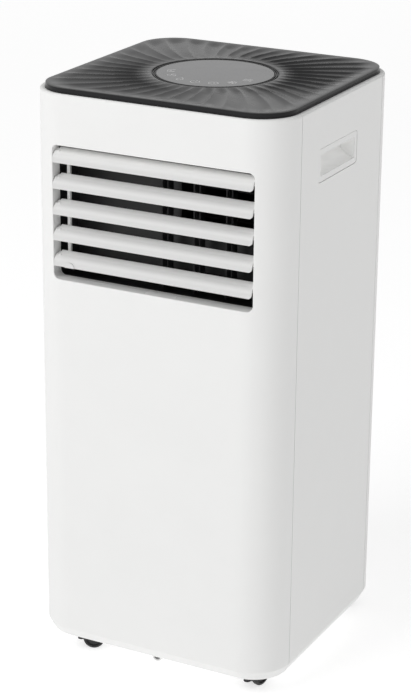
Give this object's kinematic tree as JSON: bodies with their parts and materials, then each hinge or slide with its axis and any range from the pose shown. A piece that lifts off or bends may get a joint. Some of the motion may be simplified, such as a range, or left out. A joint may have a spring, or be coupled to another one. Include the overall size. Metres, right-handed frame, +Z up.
{
  "type": "portable air conditioner",
  "caption": "Upright rounded room air conditioner on castors, with tilting front louvres, a touch disc in a fluted lid, rear intake grilles and an exhaust hose socket.",
  "frame": {"origin": "on the floor under the middle of the body", "axes": "+Z up, -Y the front with the louvres, +X the unit's right as seen from the front"},
  "size_m": [0.3, 0.29, 0.6544],
  "materials": {
    "white_abs": "fine spark texture, satin",
    "louvre_abs": "smooth moulded, semi-gloss",
    "dark_abs": "satin",
    "control_panel": "polished",
    "board": "solder mask",
    "black_abs": "fine texture",
    "grey_abs": "moulded",
    "motor_steel": "satin",
    "black_steel": "semi-gloss",
    "galvanised_steel": "galvanised",
    "fin_aluminium": "bare",
    "copper": "drawn",
    "rubber": "moulded",
    "filter_nylon": "woven mesh",
    "screw_steel": "zinc plated"
  },
  "bodies": {
    "cabinet": {"front_shell": "white_abs", "left_side_panel": "white_abs", "right_side_panel": "white_abs", "rear_shell": "white_abs", "left_hand_grip": "white_abs", "right_hand_grip": "white_abs", "base_pan": "white_abs", "lower_grille": "white_abs", "cord_gland": "white_abs", "exhaust_socket": "white_abs", "drain_spout": "white_abs", "outlet_frame": "louvre_abs", "top_lid": "dark_abs", "control_bezel": "dark_abs", "control_glass": "control_panel", "display_board": "board", "main_board": "board", "outlet_duct": "black_abs", "blower_scroll": "black_abs", "condenser_scroll": "black_abs", "exhaust_duct": "black_abs", "mid_deck": "grey_abs", "blower_motor": "motor_steel", "condenser_fan_motor": "motor_steel", "splash_motor": "motor_steel", "compressor": "black_steel", "accumulator": "black_steel", "electrics_box": "galvanised_steel", "evaporator_coil": "fin_aluminium", "condenser_coil": "fin_aluminium", "run_capacitor": "fin_aluminium", "refrigerant_pipes": "copper", "compressor_mounts": "rubber", "rear_screws": "screw_steel"},
    "louvre_1": {"louvre_1": "louvre_abs"},
    "louvre_2": {"louvre_2": "louvre_abs"},
    "louvre_3": {"louvre_3": "louvre_abs"},
    "louvre_4": {"louvre_4": "louvre_abs"},
    "louvre_5": {"louvre_5": "louvre_abs"},
    "louvre_link": {"louvre_link_bar": "louvre_abs"},
    "vane_1": {"vane_1": "black_abs"},
    "vane_2": {"vane_2": "black_abs"},
    "vane_3": {"vane_3": "black_abs"},
    "vane_tie": {"vane_tie_bar": "black_abs"},
    "blower": {"blower_wheel": "black_abs"},
    "condenser_fan": {"condenser_fan_wheel": "black_abs"},
    "splash": {"splash_wheel": "black_abs"},
    "filter": {"filter_grille": "white_abs", "filter_mesh": "filter_nylon"},
    "drain_stopper": {"drain_plug": "rubber"},
    "castor_front_left": {"castor_fork_front_left": "black_abs"},
    "wheels_front_left": {"castor_wheels_front_left": "black_abs"},
    "castor_front_right": {"castor_fork_front_right": "black_abs"},
    "wheels_front_right": {"castor_wheels_front_right": "black_abs"},
    "castor_rear_left": {"castor_fork_rear_left": "black_abs"},
    "wheels_rear_left": {"castor_wheels_rear_left": "black_abs"},
    "castor_rear_right": {"castor_fork_rear_right": "black_abs"},
    "wheels_rear_right": {"castor_wheels_rear_right": "black_abs"}
  },
  "joints": [
    {"name": "louvre_tilt", "type": "hinge", "parent": "cabinet", "child": "louvre_5", "pos_m": [0, -0.136, 0.4699], "axis": [1, 0, 0], "range_deg": [-25, 35]},
    {"name": "louvre_1_tilt", "type": "hinge", "parent": "cabinet", "child": "louvre_1", "pos_m": [0, -0.136, 0.5829], "axis": [1, 0, 0], "range_deg": [-25, 35]},
    {"name": "louvre_2_tilt", "type": "hinge", "parent": "cabinet", "child": "louvre_2", "pos_m": [0, -0.136, 0.55465], "axis": [1, 0, 0], "range_deg": [-25, 35]},
    {"name": "louvre_3_tilt", "type": "hinge", "parent": "cabinet", "child": "louvre_3", "pos_m": [0, -0.136, 0.5264], "axis": [1, 0, 0], "range_deg": [-25, 35]},
    {"name": "louvre_4_tilt", "type": "hinge", "parent": "cabinet", "child": "louvre_4", "pos_m": [0, -0.136, 0.49815], "axis": [1, 0, 0], "range_deg": [-25, 35]},
    {"name": "louvre_link_turn", "type": "hinge", "parent": "louvre_5", "child": "louvre_link", "pos_m": [-0.1082, -0.1235, 0.4699], "axis": [1, 0, 0], "range_deg": [-35, 25]},
    {"name": "vane_swing", "type": "hinge", "parent": "cabinet", "child": "vane_1", "pos_m": [0, -0.106, 0.52045], "axis": [0, 0, 1], "range_deg": [-30, 30]},
    {"name": "vane_2_swing", "type": "hinge", "parent": "cabinet", "child": "vane_2", "pos_m": [0.0375, -0.106, 0.52045], "axis": [0, 0, 1], "range_deg": [-30, 30]},
    {"name": "vane_3_swing", "type": "hinge", "parent": "cabinet", "child": "vane_3", "pos_m": [0.075, -0.106, 0.52045], "axis": [0, 0, 1], "range_deg": [-30, 30]},
    {"name": "vane_tie_turn", "type": "hinge", "parent": "vane_1", "child": "vane_tie", "pos_m": [0, -0.097, 0.4575], "axis": [0, 0, 1], "range_deg": [-30, 30]},
    {"name": "blower_spin", "type": "hinge", "parent": "cabinet", "child": "blower", "pos_m": [0.057, 0, 0.5], "axis": [1, 0, 0], "continuous": true},
    {"name": "condenser_fan_spin", "type": "hinge", "parent": "cabinet", "child": "condenser_fan", "pos_m": [0.064, -0.024, 0.215], "axis": [1, 0, 0], "continuous": true},
    {"name": "splash_spin", "type": "hinge", "parent": "cabinet", "child": "splash", "pos_m": [0.02, 0.08, 0.06], "axis": [0, 1, 0], "continuous": true},
    {"name": "filter_pull", "type": "slide", "parent": "cabinet", "child": "filter", "axis": [0, 1, 0], "range_m": [0, 0.12]},
    {"name": "drain_plug_pull", "type": "slide", "parent": "cabinet", "child": "drain_stopper", "axis": [0, -1, 0], "range_m": [0, 0.02]},
    {"name": "castor_swivel_front_left", "type": "hinge", "parent": "cabinet", "child": "castor_front_left", "pos_m": [-0.1056, -0.1142, 0.0275], "axis": [0, 0, 1], "continuous": true},
    {"name": "wheels_roll_front_left", "type": "hinge", "parent": "castor_front_left", "child": "wheels_front_left", "pos_m": [-0.09201, -0.10786, 0.012], "axis": [-0.4226, 0.9063, 0], "continuous": true},
    {"name": "castor_swivel_front_right", "type": "hinge", "parent": "cabinet", "child": "castor_front_right", "pos_m": [0.1056, -0.1142, 0.0275], "axis": [0, 0, 1], "continuous": true},
    {"name": "wheels_roll_front_right", "type": "hinge", "parent": "castor_front_right", "child": "wheels_front_right", "pos_m": [0.10948, -0.09971, 0.012], "axis": [-0.9659, 0.2588, 0], "continuous": true},
    {"name": "castor_swivel_rear_left", "type": "hinge", "parent": "cabinet", "child": "castor_rear_left", "pos_m": [-0.1056, 0.1142, 0.0275], "axis": [0, 0, 1], "continuous": true},
    {"name": "wheels_roll_rear_left", "type": "hinge", "parent": "castor_rear_left", "child": "wheels_rear_left", "pos_m": [-0.09151, 0.11933, 0.012], "axis": [-0.342, 0.9397, 0], "continuous": true},
    {"name": "castor_swivel_rear_right", "type": "hinge", "parent": "cabinet", "child": "castor_rear_right", "pos_m": [0.1056, 0.1142, 0.0275], "axis": [0, 0, 1], "continuous": true},
    {"name": "wheels_roll_rear_right", "type": "hinge", "parent": "castor_rear_right", "child": "wheels_rear_right", "pos_m": [0.11789, 0.1228, 0.012], "axis": [-0.5736, 0.8192, 0], "continuous": true}
  ],
  "couplings": [
    {"joint": "louvre_1_tilt", "follows": "louvre_tilt", "ratio": 1},
    {"joint": "louvre_2_tilt", "follows": "louvre_tilt", "ratio": 1},
    {"joint": "louvre_3_tilt", "follows": "louvre_tilt", "ratio": 1},
    {"joint": "louvre_4_tilt", "follows": "louvre_tilt", "ratio": 1},
    {"joint": "louvre_link_turn", "follows": "louvre_tilt", "ratio": -1},
    {"joint": "vane_2_swing", "follows": "vane_swing", "ratio": 1},
    {"joint": "vane_3_swing", "follows": "vane_swing", "ratio": 1},
    {"joint": "vane_tie_turn", "follows": "vane_swing", "ratio": -1}
  ]
}
